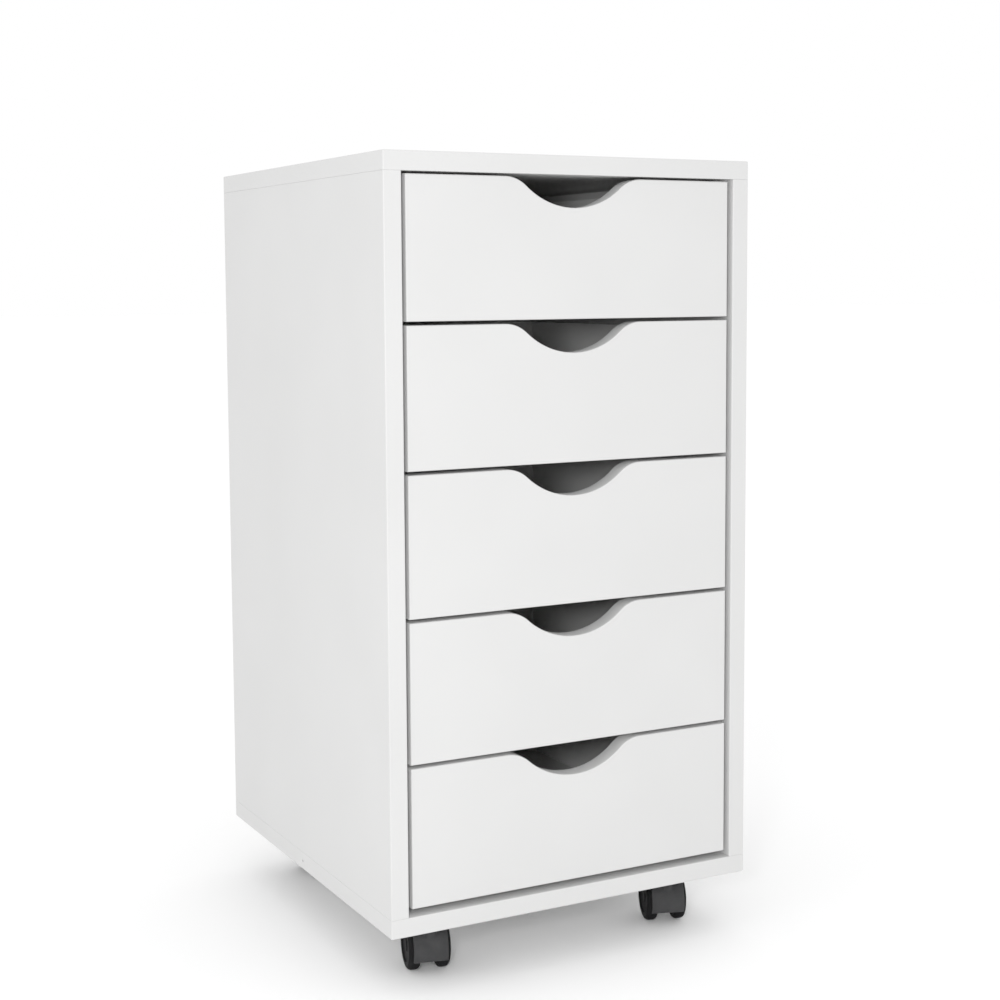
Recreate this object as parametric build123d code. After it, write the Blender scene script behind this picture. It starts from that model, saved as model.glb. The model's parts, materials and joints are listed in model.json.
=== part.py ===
from build123d import *
import math
import os

# A rolling pedestal cabinet with five drawers on roller slides and four twin-wheel casters.
# Millimetres. +Z is up, the drawer fronts face -Y, and +X is to the right of a person facing them.
# The origin is on the floor, under the middle of the cabinet.

# Carcass
BODY_WIDTH = 330.0
BODY_DEPTH = 360.0
BODY_HEIGHT = 602.0
BOARD = 15.0
FREE_EDGE_RADIUS = 1.0
JOINT_EDGE_RADIUS = 0.4
BACK_THICKNESS = 3.0
BACK_INSET = 8.0
BACK_GROOVE_DEPTH = 6.0
PANEL_EDGE_CLEARANCE = 0.5
GROOVE_CLEARANCE = 0.1
EDGE_HOLE_RADIUS = 1.25
EDGE_HOLE_DEPTH = 10.0
EDGE_HOLE_BEHIND_MIDDLE = 6.0

# Drawers
DRAWER_COUNT = 5
FRONT_WIDTH = 292.0
FRONT_HEIGHT = 110.5
FRONT_THICKNESS = 15.0
FRONT_RECESS = 2.0
FRONT_SPACING = 3.0
LOWEST_FRONT_GAP = 5.5
CUTOUT_DEPTH = 23.5
CUTOUT_RADIUS = 64.0
CUTOUT_CORNER_RADIUS = 28.0
SIDE_THICKNESS = 12.0
SIDE_ABOVE_FRONT_BOTTOM = 10.0
SIDE_BELOW_FRONT_TOP = 6.0
SIDE_LENGTH = 295.0
BOTTOM_THICKNESS = 3.0
BOTTOM_ABOVE_SIDE_EDGE = 7.3
BOTTOM_GROOVE_DEPTH = 5.0
BOX_EDGE_RADIUS = 0.6

# Roller slides, measured inwards from the carcass side ("reach") and upwards from the rail's foot
SLIDE_SPACE = 12.5
RAIL_LENGTH = 290.0
RAIL_STEEL = 1.0
RAIL_SETBACK = 20.0
RAIL_BELOW_DRAWER_SIDE = 2.0
CABINET_RAIL_HEIGHT = 20.5
CABINET_RAIL_REACH = 10.0
DRAWER_FLANGE_HEIGHT = 16.6
DRAWER_FLANGE_STEEL = 1.2
DRAWER_WEB_TOP = 30.0
ROLLER_RADIUS = 7.5
ROLLER_HEIGHT = 8.8
ROLLER_NEAR = 3.0
ROLLER_FAR = 9.0
ROLLER_AXLE_RADIUS = 2.0
ROLLER_BORE_CLEARANCE = 0.08
ROLLER_EDGE_BREAK = 0.5
ROLLER_AXLE_OVERHANG = 0.3
ROLLER_END_DISTANCE = 9.0
STOP_HEIGHT = 4.0
STOP_LENGTH = 3.0
STOP_FROM_FRONT = 47.0
RAIL_SCREW_FROM_FRONT = (60.0, 240.0)
RAIL_SCREW_HEIGHT = 10.0
SCREW_RADIUS = 1.7
SCREW_HOLE_DEPTH = 11.0
SCREW_DEPTH = 10.0
SCREW_HEAD_RADIUS = 3.5
SCREW_HEAD_HEIGHT = 1.2
PILOT_CLEARANCE = 0.05

# Cam fittings and dowels in the four corners of the carcass
CAM_RADIUS = 7.5
CAM_DEPTH = 12.5
CAM_FROM_BOARD_END = 24.0
CAM_FROM_MIDDLE = 135.0
CAM_CLEARANCE = 0.05
CAM_FACE = 2.8
CAM_SLOT_WIDTH = 8.0
CAM_SLOT_OVERRUN = 1.0
CROSS_HALF_LENGTH = 3.5
CROSS_HALF_WIDTH = 0.6
CROSS_DEPTH = 1.6
BOLT_RADIUS = 3.0
BOLT_HEAD_RADIUS = 3.6
BOLT_HEAD_HEIGHT = 3.0
BOLT_THREAD_LENGTH = 11.0
BOLT_HOLE_RADIUS = 4.0
DOWEL_RADIUS = 4.0
DOWEL_LENGTH = 28.0
DOWEL_IN_PANEL = 11.0
DOWEL_FROM_MIDDLE = 60.0
DOWEL_CLEARANCE = 0.05
DOWEL_END_BREAK = 0.8

# Casters
CASTER_HEIGHT = 51.0
STEM_FROM_SIDE = 51.5
STEM_FROM_FRONT_OR_REAR = 41.0
SWIVEL_ANGLES = {"front_left": -13.0, "front_right": -19.0, "rear_left": -85.0, "rear_right": 35.0}
TRAIL = 15.3
WHEEL_RADIUS = 20.0
WHEEL_WIDTH = 10.0
WHEEL_GAP = 14.7
WHEEL_SHOULDER_RADIUS = 3.6
WHEEL_INNER_RADIUS = 3.0
WHEEL_DISH_RADIUS = 14.0
WHEEL_DISH_DEPTH = 1.0
WHEEL_CAP_RADIUS = 4.5
WHEEL_CAP_HEIGHT = 0.5
WHEEL_HOLLOW_DEPTH = 5.0
WHEEL_HOLLOW_NEAR = 5.0
WHEEL_HOLLOW_FAR = 16.0
WHEEL_BORE_DEPTH = 8.0
AXLE_END_PLAY = 0.5
AXLE_END_BREAK = 0.4
AXLE_RADIUS = 2.0
AXLE_CLEARANCE = 0.05
HOOD_RADIUS = 23.5
HOOD_SHELL = 1.8
HOOD_WIDTH = 28.2
HOOD_LIP_ANGLE = -20.0
HOOD_BACK_ANGLE = 125.0
HOOD_EDGE_RADIUS = 0.8
WEB_WIDTH = 12.0
WEB_HUB_RADIUS = 9.5
BOSS_RADIUS = 6.0
BOSS_FOOT = 14.0
BOSS_BELOW_SOCKET = 0.3
STEM_RADIUS = 3.95
STEM_FOOT = 20.5
STEM_BORE_FOOT = 20.0
STEM_END_BREAK = 0.5
STEM_CLEARANCE = 0.05
SOCKET_RADIUS = 5.45
SOCKET_LENGTH = 12.0
SOCKET_FLANGE_RADIUS = 9.0
SOCKET_FLANGE = 1.2
SOCKET_END_WALL = 1.0

# Worked out from the driving dimensions
BODY_BOTTOM = CASTER_HEIGHT
BOSS_TOP = CASTER_HEIGHT - SOCKET_FLANGE - BOSS_BELOW_SOCKET
BODY_TOP = BODY_BOTTOM + BODY_HEIGHT
INSIDE_BOTTOM = BODY_BOTTOM + BOARD
INSIDE_TOP = BODY_TOP - BOARD
INSIDE_HALF_WIDTH = BODY_WIDTH / 2 - BOARD
CARCASS_FRONT = -BODY_DEPTH / 2
CARCASS_REAR = BODY_DEPTH / 2
BACK_FRONT_FACE = CARCASS_REAR - BACK_INSET - BACK_THICKNESS
FRONT_FACE = CARCASS_FRONT + FRONT_RECESS
FRONT_REAR_FACE = FRONT_FACE + FRONT_THICKNESS
SIDE_OUTER = INSIDE_HALF_WIDTH - SLIDE_SPACE
SIDE_INNER = SIDE_OUTER - SIDE_THICKNESS
SIDE_REAR = FRONT_REAR_FACE + SIDE_LENGTH
SIDE_HEIGHT = FRONT_HEIGHT - SIDE_ABOVE_FRONT_BOTTOM - SIDE_BELOW_FRONT_TOP
RAIL_FRONT = CARCASS_FRONT + RAIL_SETBACK
RAIL_REAR = RAIL_FRONT + RAIL_LENGTH
AXLE_HALF_LENGTH = WHEEL_GAP / 2 + WHEEL_BORE_DEPTH - AXLE_END_PLAY
WHEEL_FACE_NEAR = WHEEL_GAP / 2

DRAWERS = range(1, DRAWER_COUNT + 1)


def front_bottom(number):
    """Height of the lower edge of a drawer front. Drawer 1 is the top one."""
    steps_up = DRAWER_COUNT - number
    return INSIDE_BOTTOM + LOWEST_FRONT_GAP + steps_up * (FRONT_HEIGHT + FRONT_SPACING)


def rail_foot(number):
    """Height of the underside of a drawer's cabinet rails."""
    return front_bottom(number) + SIDE_ABOVE_FRONT_BOTTOM - RAIL_BELOW_DRAWER_SIDE


def block(x_range, y_range, z_range):
    """A box between two limits on each axis."""
    size = [high - low for low, high in (x_range, y_range, z_range)]
    middle = [(high + low) / 2 for low, high in (x_range, y_range, z_range)]
    return Pos(*middle) * Box(*size)


def rod(radius, start, end):
    """A cylinder between two points that differ along one axis."""
    low, high = Vector(*start), Vector(*end)
    way = high - low
    return extrude(Plane(low, z_dir=way) * Circle(radius), amount=way.length)


def mirrored(shape):
    """The left-hand copy of a right-hand shape."""
    return mirror(shape, about=Plane.YZ)


def both_sides(shape):
    return [shape, mirrored(shape)]


# Carcass boards

def cam_corners():
    """(Y, height of the board end, inwards direction along Z) of each corner joint on one side."""
    for y in (-CAM_FROM_MIDDLE, CAM_FROM_MIDDLE):
        yield y, INSIDE_TOP, -1
        yield y, INSIDE_BOTTOM, 1


def dowel_corners():
    for y in (-DOWEL_FROM_MIDDLE, DOWEL_FROM_MIDDLE):
        yield y, INSIDE_TOP, -1
        yield y, INSIDE_BOTTOM, 1


def lying_board_holes():
    """Bores in the top and bottom panels for the cam bolts' threads and the dowels."""
    x = INSIDE_HALF_WIDTH + BOARD / 2
    holes = []
    for y, end, inwards in cam_corners():
        far = end - inwards * BOLT_THREAD_LENGTH
        holes += both_sides(rod(BOLT_RADIUS + PILOT_CLEARANCE, (x, y, end), (x, y, far)))
    for y, end, inwards in dowel_corners():
        far = end - inwards * DOWEL_IN_PANEL
        holes += both_sides(rod(DOWEL_RADIUS + DOWEL_CLEARANCE, (x, y, end), (x, y, far)))
    return holes


def back_groove(x_range, z_range):
    """The slot for the back panel, between two limits."""
    y_range = (BACK_FRONT_FACE - GROOVE_CLEARANCE, BACK_FRONT_FACE + BACK_THICKNESS + GROOVE_CLEARANCE)
    return block(x_range, y_range, z_range)


def make_top_panel():
    half = BODY_WIDTH / 2
    board = block((-half, half), (CARCASS_FRONT, CARCASS_REAR), (INSIDE_TOP, BODY_TOP))
    free_edges = list(board.edges().filter_by(Axis.Z)) + list(board.faces().sort_by(Axis.Z)[-1].edges())
    board = fillet(free_edges, FREE_EDGE_RADIUS)
    board = fillet(board.faces().sort_by(Axis.Z)[0].edges(), JOINT_EDGE_RADIUS)
    reach = INSIDE_HALF_WIDTH + BACK_GROOVE_DEPTH
    board -= back_groove((-reach, reach), (INSIDE_TOP, INSIDE_TOP + BACK_GROOVE_DEPTH))
    return board - lying_board_holes()


def make_bottom_panel():
    half = BODY_WIDTH / 2
    board = block((-half, half), (CARCASS_FRONT, CARCASS_REAR), (BODY_BOTTOM, INSIDE_BOTTOM))
    free_edges = list(board.edges().filter_by(Axis.Z)) + list(board.faces().sort_by(Axis.Z)[0].edges())
    board = fillet(free_edges, FREE_EDGE_RADIUS)
    board = fillet(board.faces().sort_by(Axis.Z)[-1].edges(), JOINT_EDGE_RADIUS)
    reach = INSIDE_HALF_WIDTH + BACK_GROOVE_DEPTH
    board -= back_groove((-reach, reach), (INSIDE_BOTTOM - BACK_GROOVE_DEPTH, INSIDE_BOTTOM))
    board -= lying_board_holes()
    socket_top = BODY_BOTTOM + SOCKET_LENGTH
    for x, y in stem_places():
        board -= rod(SOCKET_RADIUS + PILOT_CLEARANCE, (x, y, BODY_BOTTOM), (x, y, socket_top))
    edge_hole = rod(EDGE_HOLE_RADIUS,
                    (half - EDGE_HOLE_DEPTH, EDGE_HOLE_BEHIND_MIDDLE, BODY_BOTTOM + BOARD / 2),
                    (half, EDGE_HOLE_BEHIND_MIDDLE, BODY_BOTTOM + BOARD / 2))
    return board - both_sides(edge_hole)


def make_right_side_panel():
    x_range, y_range = (INSIDE_HALF_WIDTH, BODY_WIDTH / 2), (CARCASS_FRONT, CARCASS_REAR)
    board = block(x_range, y_range, (INSIDE_BOTTOM, INSIDE_TOP))
    board = fillet(board.edges().filter_by(Axis.Z), FREE_EDGE_RADIUS)
    ends = board.faces().sort_by(Axis.Z)
    board = fillet(list(ends[0].edges()) + list(ends[-1].edges()), JOINT_EDGE_RADIUS)
    groove_end = INSIDE_HALF_WIDTH + BACK_GROOVE_DEPTH
    board -= back_groove((INSIDE_HALF_WIDTH, groove_end), (INSIDE_BOTTOM, INSIDE_TOP))
    middle = INSIDE_HALF_WIDTH + BOARD / 2
    for y, end, inwards in cam_corners():
        cam_z = end + inwards * CAM_FROM_BOARD_END
        board -= rod(CAM_RADIUS + CAM_CLEARANCE, (INSIDE_HALF_WIDTH, y, cam_z),
                     (INSIDE_HALF_WIDTH + CAM_DEPTH, y, cam_z))
        board -= rod(BOLT_HOLE_RADIUS, (middle, y, end), (middle, y, cam_z))
    for y, end, inwards in dowel_corners():
        far = end + inwards * (DOWEL_LENGTH - DOWEL_IN_PANEL)
        board -= rod(DOWEL_RADIUS + DOWEL_CLEARANCE, (middle, y, end), (middle, y, far))
    tip = INSIDE_HALF_WIDTH + SCREW_HOLE_DEPTH
    for y, z in rail_screw_places():
        board -= rod(SCREW_RADIUS + PILOT_CLEARANCE, (INSIDE_HALF_WIDTH, y, z), (tip, y, z))
    return board


def make_back_panel():
    half = INSIDE_HALF_WIDTH + BACK_GROOVE_DEPTH - PANEL_EDGE_CLEARANCE
    overlap = BACK_GROOVE_DEPTH - PANEL_EDGE_CLEARANCE
    return block((-half, half), (BACK_FRONT_FACE, BACK_FRONT_FACE + BACK_THICKNESS),
                 (INSIDE_BOTTOM - overlap, INSIDE_TOP + overlap))


# Fittings

def make_cam_locks():
    """A round lock in each side panel, hollow where it grips the bolt's head."""
    locks = []
    face = INSIDE_HALF_WIDTH
    middle = face + BOARD / 2
    for y, end, inwards in cam_corners():
        cam_z = end + inwards * CAM_FROM_BOARD_END
        lock = rod(CAM_RADIUS, (face, y, cam_z), (face + CAM_DEPTH, y, cam_z))
        rim = cam_z - inwards * (CAM_RADIUS + CAM_SLOT_OVERRUN)
        slot = block((face + CAM_FACE, middle + CAM_SLOT_WIDTH / 2),
                     (y - CAM_SLOT_WIDTH / 2, y + CAM_SLOT_WIDTH / 2),
                     sorted((cam_z + inwards * BOLT_HEAD_HEIGHT, rim)))
        locks += both_sides(lock - slot - cam_driver_cross(face, y, cam_z))
    return locks


def cam_driver_cross(face, y, z):
    """The cross recess that a screwdriver turns the lock by."""
    long, short = CROSS_HALF_LENGTH, CROSS_HALF_WIDTH
    x_range = (face, face + CROSS_DEPTH)
    upright = block(x_range, (y - short, y + short), (z - long, z + long))
    level = block(x_range, (y - long, y + long), (z - short, z + short))
    return upright + level


def make_cam_bolts():
    bolts = []
    x = INSIDE_HALF_WIDTH + BOARD / 2
    for y, end, inwards in cam_corners():
        cam_z = end + inwards * CAM_FROM_BOARD_END
        shank = rod(BOLT_RADIUS, (x, y, end - inwards * BOLT_THREAD_LENGTH), (x, y, cam_z))
        neck = cam_z - inwards * BOLT_HEAD_HEIGHT
        head = rod(BOLT_HEAD_RADIUS, (x, y, neck), (x, y, cam_z))
        bolts += both_sides(shank + head)
    return bolts


def make_dowels():
    dowels = []
    x = INSIDE_HALF_WIDTH + BOARD / 2
    for y, end, inwards in dowel_corners():
        start = end - inwards * DOWEL_IN_PANEL
        dowel = rod(DOWEL_RADIUS, (x, y, start), (x, y, start + inwards * DOWEL_LENGTH))
        dowels += both_sides(chamfer(dowel.edges(), DOWEL_END_BREAK))
    return dowels


# Roller slides

def at_reach(reach):
    """X of a place on the right-hand slide, by its distance from the carcass side."""
    return INSIDE_HALF_WIDTH - reach


def slide_bar(reach_range, y_range, heights, foot):
    """A straight bar of a right-hand slide."""
    far, near = reach_range[1], reach_range[0]
    z_range = (foot + heights[0], foot + heights[1])
    return block((at_reach(far), at_reach(near)), y_range, z_range)


def rail_screw_places():
    """(Y, Z) of each screw that holds a cabinet rail."""
    for number in DRAWERS:
        for from_front in RAIL_SCREW_FROM_FRONT:
            yield RAIL_FRONT + from_front, rail_foot(number) + RAIL_SCREW_HEIGHT


def roller(y, foot):
    """A right-hand slide roller with its axle bore."""
    z = foot + ROLLER_HEIGHT
    near, far = at_reach(ROLLER_NEAR), at_reach(ROLLER_FAR)
    wheel = rod(ROLLER_RADIUS, (far, y, z), (near, y, z))
    wheel = chamfer(wheel.edges(), ROLLER_EDGE_BREAK)
    return wheel - rod(ROLLER_AXLE_RADIUS + ROLLER_BORE_CLEARANCE, (far, y, z), (near, y, z))


def cabinet_rail(number):
    """A right-hand C-shaped track with its front roller's axle and the stop that ends the travel."""
    foot = rail_foot(number)
    run = (RAIL_FRONT, RAIL_REAR)
    top = CABINET_RAIL_HEIGHT
    rail = slide_bar((0, RAIL_STEEL), run, (0, top), foot)
    rail += slide_bar((0, CABINET_RAIL_REACH), run, (0, RAIL_STEEL), foot)
    rail += slide_bar((0, CABINET_RAIL_REACH), run, (top - RAIL_STEEL, top), foot)
    stop = (RAIL_FRONT + STOP_FROM_FRONT - STOP_LENGTH, RAIL_FRONT + STOP_FROM_FRONT)
    rail += slide_bar((0, ROLLER_FAR), stop, (0, STOP_HEIGHT), foot)
    y, z = RAIL_FRONT + ROLLER_END_DISTANCE, foot + ROLLER_HEIGHT
    axle_end = at_reach(ROLLER_FAR + ROLLER_AXLE_OVERHANG)
    rail += rod(ROLLER_AXLE_RADIUS, (at_reach(0), y, z), (axle_end, y, z))
    screw_z = foot + RAIL_SCREW_HEIGHT
    for from_front in RAIL_SCREW_FROM_FRONT:
        screw_y = RAIL_FRONT + from_front
        rail -= rod(SCREW_RADIUS + PILOT_CLEARANCE, (at_reach(RAIL_STEEL), screw_y, screw_z),
                    (at_reach(0), screw_y, screw_z))
    return rail


def make_cabinet_rails():
    return [cabinet_rail(number) for number in DRAWERS]


def make_cabinet_rail_rollers():
    rollers = []
    for number in DRAWERS:
        rollers += both_sides(roller(RAIL_FRONT + ROLLER_END_DISTANCE, rail_foot(number)))
    return rollers


def make_rail_screws():
    screws = []
    for y, z in rail_screw_places():
        seat = at_reach(RAIL_STEEL)
        shank = rod(SCREW_RADIUS, (seat, y, z), (INSIDE_HALF_WIDTH + SCREW_DEPTH, y, z))
        head = rod(SCREW_HEAD_RADIUS, (seat - SCREW_HEAD_HEIGHT, y, z), (seat, y, z))
        screws += both_sides(shank + head)
    return screws


def drawer_rail(number):
    """A right-hand angle that carries the drawer side, with a flange for the front roller."""
    foot = rail_foot(number)
    run = (FRONT_REAR_FACE, RAIL_REAR)
    web_far, web_near = SLIDE_SPACE, SLIDE_SPACE - RAIL_STEEL
    lip = RAIL_BELOW_DRAWER_SIDE
    rail = slide_bar((web_near, web_far), run, (lip - RAIL_STEEL, DRAWER_WEB_TOP), foot)
    rail += slide_bar((web_near, web_far + SIDE_THICKNESS), run, (lip - RAIL_STEEL, lip), foot)
    flange = (DRAWER_FLANGE_HEIGHT, DRAWER_FLANGE_HEIGHT + DRAWER_FLANGE_STEEL)
    rail += slide_bar((ROLLER_NEAR, web_far), run, flange, foot)
    y, z = RAIL_REAR - ROLLER_END_DISTANCE, foot + ROLLER_HEIGHT
    axle_end = at_reach(ROLLER_NEAR - ROLLER_AXLE_OVERHANG)
    return rail + rod(ROLLER_AXLE_RADIUS, (at_reach(web_far), y, z), (axle_end, y, z))


def make_drawer_rails(number):
    rear_roller = roller(RAIL_REAR - ROLLER_END_DISTANCE, rail_foot(number))
    return both_sides(drawer_rail(number)) + both_sides(rear_roller)


# Drawers

def cutout_outline():
    """The finger cut-out about its top middle: a wide arc that turns smoothly into the level edge."""
    wide, corner, depth = CUTOUT_RADIUS, CUTOUT_CORNER_RADIUS, CUTOUT_DEPTH
    reach = wide + corner
    half = math.sqrt(reach ** 2 - (reach - depth) ** 2)
    tilt = math.asin(half / reach)
    turn = (wide * math.sin(tilt), -corner * (1 - math.cos(tilt)))
    corner_middle = (half - corner * math.sin(tilt / 2), -corner * (1 - math.cos(tilt / 2)))
    above = FRONT_SPACING
    right = ThreePointArc(turn, corner_middle, (half, 0))
    left = ThreePointArc((-half, 0), (-corner_middle[0], corner_middle[1]), (-turn[0], turn[1]))
    bowl = ThreePointArc((-turn[0], turn[1]), (0, -depth), turn)
    lid = Polyline((half, 0), (half, above), (-half, above), (-half, 0))
    return make_face(left + bowl + right + lid)


def make_drawer_front(number):
    bottom = front_bottom(number)
    face = Pos(0, bottom + FRONT_HEIGHT / 2) * Rectangle(FRONT_WIDTH, FRONT_HEIGHT)
    face -= Pos(0, bottom + FRONT_HEIGHT) * cutout_outline()
    front = Pos(0, FRONT_REAR_FACE, 0) * extrude(Plane.XZ * face, amount=FRONT_THICKNESS)
    front = fillet(front.faces().sort_by(Axis.Y)[0].edges(), FREE_EDGE_RADIUS)
    front = fillet(front.faces().sort_by(Axis.Y)[-1].edges(), JOINT_EDGE_RADIUS)
    return front - bottom_groove(number)


def bottom_level(number):
    """Height of the underside of the drawer's thin bottom."""
    return front_bottom(number) + SIDE_ABOVE_FRONT_BOTTOM + BOTTOM_ABOVE_SIDE_EDGE


def bottom_groove(number):
    """The space that the drawer bottom's edges need in the front and the sides."""
    level = bottom_level(number)
    half = SIDE_INNER + BOTTOM_GROOVE_DEPTH
    z_range = (level - GROOVE_CLEARANCE, level + BOTTOM_THICKNESS)
    return block((-half, half), (FRONT_REAR_FACE - BOTTOM_GROOVE_DEPTH, SIDE_REAR), z_range)


def make_drawer_right_side(number):
    foot = front_bottom(number) + SIDE_ABOVE_FRONT_BOTTOM
    side = block((SIDE_INNER, SIDE_OUTER), (FRONT_REAR_FACE, SIDE_REAR), (foot, foot + SIDE_HEIGHT))
    side = fillet(side.faces().sort_by(Axis.Z)[-1].edges().filter_by(Axis.Y), BOX_EDGE_RADIUS)
    return side - bottom_groove(number)


def make_drawer_back(number):
    lower = bottom_level(number) + BOTTOM_THICKNESS
    upper = front_bottom(number) + SIDE_ABOVE_FRONT_BOTTOM + SIDE_HEIGHT
    back = block((-SIDE_INNER, SIDE_INNER), (SIDE_REAR - SIDE_THICKNESS, SIDE_REAR), (lower, upper))
    return fillet(back.faces().sort_by(Axis.Z)[-1].edges().filter_by(Axis.X), BOX_EDGE_RADIUS)


def make_drawer_bottom(number):
    level = bottom_level(number)
    half = SIDE_INNER + BOTTOM_GROOVE_DEPTH - PANEL_EDGE_CLEARANCE
    front = FRONT_REAR_FACE - BOTTOM_GROOVE_DEPTH + PANEL_EDGE_CLEARANCE
    return block((-half, half), (front, SIDE_REAR), (level, level + BOTTOM_THICKNESS))


# Casters: each is drawn about its stem, rolling towards -Y, with its axle along X

def stem_places():
    """(X, Y) of the four caster stems."""
    for x in (-(BODY_WIDTH / 2 - STEM_FROM_SIDE), BODY_WIDTH / 2 - STEM_FROM_SIDE):
        yield x, CARCASS_FRONT + STEM_FROM_FRONT_OR_REAR
        yield x, CARCASS_REAR - STEM_FROM_FRONT_OR_REAR


def corner_name(x, y):
    return ("front" if y < 0 else "rear") + "_" + ("left" if x < 0 else "right")


def placed(piece, x, y):
    """A caster piece swivelled about its stem and moved to its corner."""
    return Pos(x, y, 0) * Rot(0, 0, SWIVEL_ANGLES[corner_name(x, y)]) * piece


def around_axle(radius, angle):
    """(Y, Z) of a point at a radius from the axle, by its angle up from straight ahead."""
    turn = math.radians(angle)
    return (TRAIL - radius * math.cos(turn), WHEEL_RADIUS + radius * math.sin(turn))


def hood_arc(radius):
    middle = (HOOD_LIP_ANGLE + HOOD_BACK_ANGLE) / 2
    return ThreePointArc(around_axle(radius, HOOD_LIP_ANGLE), around_axle(radius, middle),
                         around_axle(radius, HOOD_BACK_ANGLE))


def hood_shell():
    """The curved cover over the treads of both wheels."""
    inner = HOOD_RADIUS - HOOD_SHELL
    lip = Line(around_axle(inner, HOOD_LIP_ANGLE), around_axle(HOOD_RADIUS, HOOD_LIP_ANGLE))
    tail = Line(around_axle(HOOD_RADIUS, HOOD_BACK_ANGLE), around_axle(inner, HOOD_BACK_ANGLE))
    face = make_face(hood_arc(inner) + lip + hood_arc(HOOD_RADIUS) + tail)
    shell = Pos(-HOOD_WIDTH / 2, 0, 0) * extrude(Plane.YZ * face, amount=HOOD_WIDTH)
    outside = [edge for edge in shell.edges() if shell_edge_is_outer(edge)]
    return fillet(outside, HOOD_EDGE_RADIUS)


def shell_edge_is_outer(edge):
    """True for the edges of the cover's outer surface."""
    point = edge @ 0.5
    from_axle = math.hypot(point.Y - TRAIL, point.Z - WHEEL_RADIUS)
    return abs(from_axle - HOOD_RADIUS) < HOOD_SHELL / 2


def hood_web():
    """The upright middle between the wheels, from the axle out to the cover."""
    inner = HOOD_RADIUS - HOOD_SHELL / 2
    centre = (TRAIL, WHEEL_RADIUS)
    rays = Polyline(around_axle(inner, HOOD_BACK_ANGLE), centre, around_axle(inner, HOOD_LIP_ANGLE))
    face = make_face(hood_arc(inner) + rays)
    face += Pos(*centre) * Circle(WEB_HUB_RADIUS)
    return Pos(-WEB_WIDTH / 2, 0, 0) * extrude(Plane.YZ * face, amount=WEB_WIDTH)


def make_caster_hood():
    hood = hood_web() + hood_shell() + rod(BOSS_RADIUS, (0, 0, BOSS_FOOT), (0, 0, BOSS_TOP))
    hood -= rod(STEM_RADIUS + STEM_CLEARANCE, (0, 0, STEM_BORE_FOOT), (0, 0, BOSS_TOP))
    half = WEB_WIDTH / 2
    bore = rod(AXLE_RADIUS + AXLE_CLEARANCE, (-half, TRAIL, WHEEL_RADIUS), (half, TRAIL, WHEEL_RADIUS))
    return hood - bore


def make_caster_axle():
    half = AXLE_HALF_LENGTH
    axle = rod(AXLE_RADIUS, (-half, TRAIL, WHEEL_RADIUS), (half, TRAIL, WHEEL_RADIUS))
    return chamfer(axle.edges(), AXLE_END_BREAK)


def wheel_profile():
    """Half section of a wheel: distance out from its inner face, and radius."""
    width, rim = WHEEL_WIDTH, WHEEL_RADIUS
    bore = AXLE_RADIUS + AXLE_CLEARANCE
    dish = width - WHEEL_DISH_DEPTH
    outline = Polyline(
        (WHEEL_BORE_DEPTH, 0), (WHEEL_BORE_DEPTH, bore), (0, bore), (0, WHEEL_HOLLOW_NEAR),
        (WHEEL_HOLLOW_DEPTH, WHEEL_HOLLOW_NEAR), (WHEEL_HOLLOW_DEPTH, WHEEL_HOLLOW_FAR),
        (0, WHEEL_HOLLOW_FAR), (0, rim), (width, rim),
        (width, WHEEL_DISH_RADIUS), (dish, WHEEL_DISH_RADIUS - WHEEL_DISH_DEPTH),
        (dish, WHEEL_CAP_RADIUS + WHEEL_CAP_HEIGHT), (dish + WHEEL_CAP_HEIGHT, WHEEL_CAP_RADIUS),
        (dish + WHEEL_CAP_HEIGHT, 0), close=True)
    face = make_face(outline)
    outer_corner = face.vertices().sort_by(lambda corner: corner.X + corner.Y)[-1]
    face = fillet(outer_corner, WHEEL_SHOULDER_RADIUS)
    inner_corner = face.vertices().sort_by(lambda corner: corner.Y - corner.X)[-1]
    return fillet(inner_corner, WHEEL_INNER_RADIUS)


def make_right_wheel():
    wheel = revolve(wheel_profile(), Axis.X)
    return Pos(WHEEL_FACE_NEAR, TRAIL, WHEEL_RADIUS) * wheel


def make_socket(x, y):
    """The flanged plastic sleeve that takes a stem, closed at its top end."""
    seat = BODY_BOTTOM
    sleeve = rod(SOCKET_RADIUS, (x, y, seat), (x, y, seat + SOCKET_LENGTH))
    sleeve += rod(SOCKET_FLANGE_RADIUS, (x, y, seat - SOCKET_FLANGE), (x, y, seat))
    bore_end = seat + SOCKET_LENGTH - SOCKET_END_WALL
    return sleeve - rod(STEM_RADIUS + STEM_CLEARANCE, (x, y, seat - SOCKET_FLANGE), (x, y, bore_end))


def make_stem(x, y):
    top = BODY_BOTTOM + SOCKET_LENGTH - SOCKET_END_WALL
    return chamfer(rod(STEM_RADIUS, (x, y, STEM_FOOT), (x, y, top)).edges(), STEM_END_BREAK)


# Writing

def save(pieces, node):
    """Writes one node: a single solid, or a group of separate ones."""
    shape = Compound(children=list(pieces)) if isinstance(pieces, list) else pieces
    export_step(shape, f"parts/{node}.step")


def save_carcass():
    right_side = make_right_side_panel()
    rails = make_cabinet_rails()
    save(make_top_panel(), "top_panel")
    save(make_bottom_panel(), "bottom_panel")
    save(right_side, "right_side_panel")
    save(mirrored(right_side), "left_side_panel")
    save(make_back_panel(), "back_panel")
    save(make_cam_locks(), "cam_locks")
    save(make_cam_bolts(), "cam_bolts")
    save(make_dowels(), "carcass_dowels")
    save(rails, "right_cabinet_rails")
    save([mirrored(rail) for rail in rails], "left_cabinet_rails")
    save(make_cabinet_rail_rollers(), "cabinet_rail_rollers")
    save(make_rail_screws(), "cabinet_rail_screws")


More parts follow.
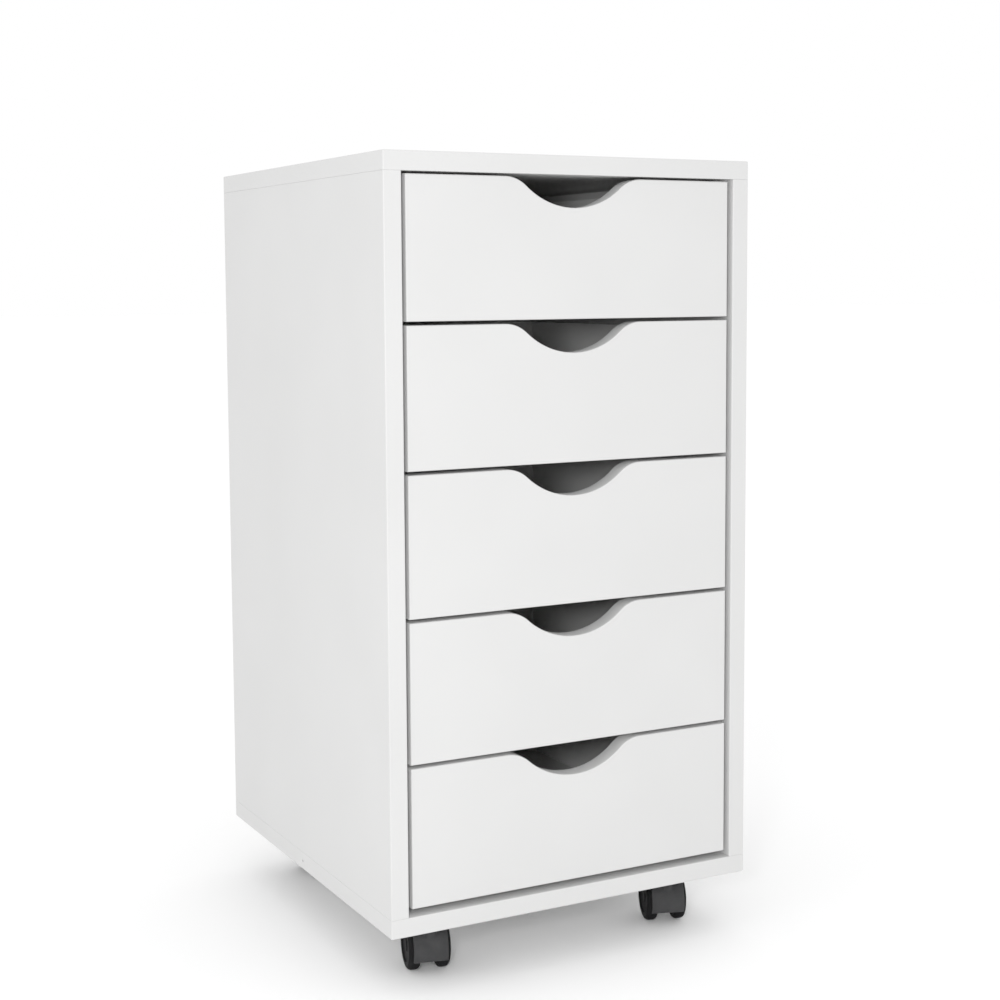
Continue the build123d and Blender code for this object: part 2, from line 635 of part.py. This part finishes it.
def save_drawers():
    for number in DRAWERS:
        right_side = make_drawer_right_side(number)
        save(make_drawer_front(number), f"drawer_{number}_front")
        save(right_side, f"drawer_{number}_right_side")
        save(mirrored(right_side), f"drawer_{number}_left_side")
        save(make_drawer_back(number), f"drawer_{number}_back")
        save(make_drawer_bottom(number), f"drawer_{number}_bottom")
        save(make_drawer_rails(number), f"drawer_{number}_rails_and_rollers")


def save_casters():
    hood, axle, wheel = make_caster_hood(), make_caster_axle(), make_right_wheel()
    for x, y in stem_places():
        name = "caster_" + corner_name(x, y)
        save(placed(hood, x, y), f"{name}_hood")
        save(placed(axle, x, y), f"{name}_axle")
        save(placed(wheel, x, y), f"{name}_right_wheel")
        save(placed(mirrored(wheel), x, y), f"{name}_left_wheel")
    save([make_socket(x, y) for x, y in stem_places()], "caster_sockets")
    save([make_stem(x, y) for x, y in stem_places()], "caster_stems")


os.makedirs("parts", exist_ok=True)
save_carcass()
save_drawers()
save_casters()
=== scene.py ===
import json
import math

import bpy
from mathutils import Matrix, Vector

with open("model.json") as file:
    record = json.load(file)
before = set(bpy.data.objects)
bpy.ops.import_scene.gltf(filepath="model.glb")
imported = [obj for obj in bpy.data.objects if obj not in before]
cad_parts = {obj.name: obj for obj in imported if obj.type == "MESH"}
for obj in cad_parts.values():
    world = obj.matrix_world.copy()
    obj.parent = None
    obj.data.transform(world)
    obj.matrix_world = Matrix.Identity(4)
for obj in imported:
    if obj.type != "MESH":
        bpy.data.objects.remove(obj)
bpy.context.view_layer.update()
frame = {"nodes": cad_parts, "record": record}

# The looks of a white rolling drawer pedestal. Metres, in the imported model's frame.
RECORD = frame["record"]
NODES = frame["nodes"]

# Camera: where it stands, its turn about Z, its tilt from straight down and its roll, in degrees
CAMERA_PLACE = (-0.6919, -1.3620, 0.5540)
CAMERA_TURN = -27.811
CAMERA_TILT = 84.824
CAMERA_ROLL = -0.330
SENSOR_MM = 36.0
FOCAL_PER_WIDTH = 1.7318
SHIFT_UP = -0.060

# Surface colours that differ from the record's, to suit this light
WHITE_MELAMINE = (0.580, 0.580, 0.577)
DRAWER_BOX_WHITE = (0.68, 0.68, 0.675)
RAIL_WHITE = (0.56, 0.56, 0.555)
HOOD_BLACK = (0.036, 0.036, 0.037)
WHEEL_BLACK = (0.009, 0.009, 0.0095)

# Studio
WORLD_STRENGTH = 1.0
FLOOR_SIZE = 60.0
FLOOR_WHITE = 0.93
FLOOR_MOTTLE = 0.005
OVERHEAD_STRENGTH = 0.30
OVERHEAD_SPREAD = 70.0
FRONT_LAMP_PLACE = (-0.82, -1.28, 0.62)
FRONT_LAMP_POWER = 6.0
LOW_LAMP_PLACE = (-0.60, -1.40, 0.30)
LOW_LAMP_POWER = 0.9
LAMP_SIZE = (0.16, 0.16)
LAMP_TARGET = (0.0, 0.0, 0.35)
DISPLAY_GAMMA = 1.2


# Shader building

class Shader:
    """A node material with a few helpers, so that each material below reads as a recipe."""

    def __init__(self, name, color, roughness):
        self.material = bpy.data.materials.new(name)
        self.material.use_nodes = True
        self.tree = self.material.node_tree
        self.surface = self.tree.nodes["Principled BSDF"]
        self.surface.inputs["Base Color"].default_value = (*color, 1.0)
        self.surface.inputs["Roughness"].default_value = roughness
        self.place = self.add("ShaderNodeTexCoord").outputs["Object"]

    def add(self, kind, **settings):
        node = self.tree.nodes.new(kind)
        for key, value in settings.items():
            setattr(node, key, value)
        return node

    def link(self, source, target):
        self.tree.links.new(source, target)

    def noise(self, size, detail=2.0, roughness=0.5, stretch=(1, 1, 1)):
        """Noise with features of about the given size in metres."""
        mapping = self.add("ShaderNodeMapping")
        mapping.inputs["Scale"].default_value = [factor / size for factor in stretch]
        self.link(self.place, mapping.inputs["Vector"])
        node = self.add("ShaderNodeTexNoise")
        node.inputs["Scale"].default_value = 1.0
        node.inputs["Detail"].default_value = detail
        node.inputs["Roughness"].default_value = roughness
        self.link(mapping.outputs["Vector"], node.inputs["Vector"])
        return node.outputs["Fac"]

    def ramp(self, factor, low, high):
        """Blends two values or colours by a factor that mostly lies between 0.3 and 0.7."""
        node = self.add("ShaderNodeValToRGB")
        node.color_ramp.elements[0].position = 0.3
        node.color_ramp.elements[1].position = 0.7
        node.color_ramp.elements[0].color = self.as_color(low)
        node.color_ramp.elements[1].color = self.as_color(high)
        self.link(factor, node.inputs["Fac"])
        return node.outputs["Color"]

    @staticmethod
    def as_color(value):
        if isinstance(value, (int, float)):
            return (value, value, value, 1.0)
        return (*value, 1.0)

    def color(self, socket):
        self.link(socket, self.surface.inputs["Base Color"])

    def rough(self, socket):
        self.link(socket, self.surface.inputs["Roughness"])

    def bump(self, *layers):
        """Adds bump layers, each (height socket, depth in metres)."""
        normal = None
        for height, depth in layers:
            node = self.add("ShaderNodeBump")
            node.inputs["Strength"].default_value = 1.0
            node.inputs["Distance"].default_value = depth
            self.link(height, node.inputs["Height"])
            if normal:
                self.link(normal, node.inputs["Normal"])
            normal = node.outputs["Normal"]
        self.link(normal, self.surface.inputs["Normal"])


def shade(base, change):
    """A colour made slightly lighter or darker."""
    return tuple(min(1.0, channel * (1 + change)) for channel in base)


def melamine(name, color):
    """White melamine facing: a fine pearl texture over a slow, faint waviness."""
    shader = Shader(name, color, 0.42)
    slow = shader.noise(0.09, detail=1.0)
    pearl = shader.noise(0.0011, detail=2.0)
    shader.color(shader.ramp(slow, shade(color, -0.012), shade(color, 0.012)))
    shader.rough(shader.ramp(pearl, 0.38, 0.48))
    shader.bump((pearl, 0.000012), (slow, 0.00008))
    shader.surface.inputs["Specular IOR Level"].default_value = 0.42
    return shader.material


def foil_board(name, color):
    """Foil-wrapped drawer board: smoother than melamine, with a faint lengthwise drag."""
    shader = Shader(name, color, 0.36)
    drag = shader.noise(0.004, detail=3.0, stretch=(1, 0.08, 1))
    shader.color(shader.ramp(drag, shade(color, -0.015), shade(color, 0.01)))
    shader.rough(shader.ramp(drag, 0.32, 0.42))
    shader.bump((drag, 0.00002))
    return shader.material


def hardboard(name, color):
    """Lacquered thin hardboard: a pebbled film over fibre."""
    shader = Shader(name, color, 0.5)
    fibre = shader.noise(0.0035, detail=5.0, roughness=0.6)
    pebble = shader.noise(0.0014, detail=1.0)
    shader.color(shader.ramp(fibre, shade(color, -0.03), shade(color, 0.015)))
    shader.rough(shader.ramp(pebble, 0.42, 0.58))
    shader.bump((fibre, 0.00004), (pebble, 0.00002))
    return shader.material


def coated_steel(name, color):
    """Powder-coated steel: a fine orange peel."""
    shader = Shader(name, color, 0.35)
    peel = shader.noise(0.0009, detail=1.0)
    shader.color(shader.ramp(shader.noise(0.02), shade(color, -0.02), shade(color, 0.01)))
    shader.rough(shader.ramp(peel, 0.3, 0.42))
    shader.bump((peel, 0.00003))
    return shader.material


def zinc_steel(name, color):
    """Bright zinc plating with a cloudy passivation."""
    shader = Shader(name, color, 0.3)
    cloud = shader.noise(0.006, detail=4.0)
    shader.color(shader.ramp(cloud, shade(color, -0.12), shade(color, 0.08)))
    shader.rough(shader.ramp(cloud, 0.22, 0.4))
    shader.bump((shader.noise(0.0006), 0.00001))
    shader.surface.inputs["Metallic"].default_value = 1.0
    return shader.material


def moulded_plastic(name, color, roughness, grain_size, gloss):
    """Injection-moulded plastic: a fine spark-eroded grain under a soft sheen."""
    shader = Shader(name, color, roughness)
    shader.surface.inputs["Specular IOR Level"].default_value = gloss
    grain = shader.noise(grain_size, detail=2.0)
    cloud = shader.noise(0.012, detail=3.0)
    shader.color(shader.ramp(cloud, shade(color, -0.12), shade(color, 0.15)))
    shader.rough(shader.ramp(grain, roughness - 0.06, roughness + 0.08))
    shader.bump((grain, 0.00003))
    return shader.material


def beech(name, color):
    """Bare beech: short flecks along the dowel."""
    shader = Shader(name, color, 0.6)
    grain = shader.noise(0.0012, detail=4.0, stretch=(1, 1, 0.12))
    shader.color(shader.ramp(grain, shade(color, -0.25), shade(color, 0.15)))
    shader.rough(shader.ramp(grain, 0.5, 0.7))
    shader.bump((grain, 0.00005))
    return shader.material


def slot_colors():
    return {entry["slot"]: tuple(entry["base_color"][:3]) for entry in RECORD["materials"]}


def make_materials():
    colors = slot_colors()
    return {
        "white_board": melamine("white_board", WHITE_MELAMINE),
        "drawer_box_board": foil_board("drawer_box_board", DRAWER_BOX_WHITE),
        "white_hardboard": hardboard("white_hardboard", DRAWER_BOX_WHITE),
        "white_coated_steel": coated_steel("white_coated_steel", RAIL_WHITE),
        "white_nylon": moulded_plastic("white_nylon", colors["white_nylon"], 0.5, 0.0005, 0.5),
        "zinc_steel": zinc_steel("zinc_steel", colors["zinc_steel"]),
        "beech_wood": beech("beech_wood", colors["beech_wood"]),
        "black_hood_plastic": moulded_plastic("black_hood_plastic", HOOD_BLACK, 0.30, 0.0006, 0.05),
        "black_wheel_plastic": moulded_plastic("black_wheel_plastic", WHEEL_BLACK, 0.30, 0.0008, 0.004),
    }


def dress_cad_nodes(materials):
    """Gives every carried-over CAD node the material of its slot."""
    for part in RECORD["subparts"]:
        piece = NODES[part["node"]]
        piece.data.materials.clear()
        piece.data.materials.append(materials[part["material_slot"]])


# Stage

def make_floor():
    half = FLOOR_SIZE / 2
    mesh = bpy.data.meshes.new("floor")
    corners = [(-half, -half, 0), (half, -half, 0), (half, half, 0), (-half, half, 0)]
    mesh.from_pydata(corners, [], [(0, 1, 2, 3)])
    floor = bpy.data.objects.new("floor", mesh)
    bpy.context.scene.collection.objects.link(floor)
    shader = Shader("floor", (FLOOR_WHITE, FLOOR_WHITE, FLOOR_WHITE), 0.9)
    darkest, lightest = FLOOR_WHITE - FLOOR_MOTTLE, FLOOR_WHITE + FLOOR_MOTTLE
    shader.color(shader.ramp(shader.noise(0.4), darkest, lightest))
    mesh.materials.append(shader.material)


def make_world():
    world = bpy.data.worlds.new("studio")
    world.use_nodes = True
    background = world.node_tree.nodes["Background"]
    background.inputs["Color"].default_value = (1.0, 1.0, 1.0, 1.0)
    background.inputs["Strength"].default_value = WORLD_STRENGTH
    bpy.context.scene.world = world


def soft_light(name, place, target, size, power):
    light = bpy.data.lights.new(name, "AREA")
    light.shape = "RECTANGLE"
    light.size, light.size_y = size
    light.energy = power
    lamp = bpy.data.objects.new(name, light)
    lamp.location = place
    lamp.rotation_euler = (Vector(target) - Vector(place)).to_track_quat("-Z", "Y").to_euler()
    bpy.context.scene.collection.objects.link(lamp)


def make_lights():
    """Two lamps beside the camera, and an even overhead light that keeps the floor white."""
    soft_light("front_lamp", FRONT_LAMP_PLACE, LAMP_TARGET, LAMP_SIZE, FRONT_LAMP_POWER)
    soft_light("low_lamp", LOW_LAMP_PLACE, LAMP_TARGET, LAMP_SIZE, LOW_LAMP_POWER)
    light = bpy.data.lights.new("overhead", "SUN")
    light.energy = OVERHEAD_STRENGTH
    light.angle = math.radians(OVERHEAD_SPREAD)
    lamp = bpy.data.objects.new("overhead", light)
    lamp.location = (0.0, 0.0, 3.0)
    bpy.context.scene.collection.objects.link(lamp)


def make_camera():
    data = bpy.data.cameras.new("camera")
    data.sensor_fit = "HORIZONTAL"
    data.sensor_width = SENSOR_MM
    data.lens = SENSOR_MM * FOCAL_PER_WIDTH
    data.shift_y = SHIFT_UP
    camera = bpy.data.objects.new("camera", data)
    turn = Matrix.Rotation(math.radians(CAMERA_TURN), 4, "Z")
    tilt = Matrix.Rotation(math.radians(CAMERA_TILT), 4, "X")
    roll = Matrix.Rotation(math.radians(CAMERA_ROLL), 4, "Z")
    camera.matrix_world = Matrix.Translation(CAMERA_PLACE) @ turn @ tilt @ roll
    bpy.context.scene.collection.objects.link(camera)
    bpy.context.scene.camera = camera


def set_view():
    scene = bpy.context.scene
    scene.view_settings.view_transform = "Standard"
    scene.view_settings.look = "None"
    scene.view_settings.gamma = DISPLAY_GAMMA


set_view()
make_camera()
make_world()
make_lights()
make_floor()
dress_cad_nodes(make_materials())
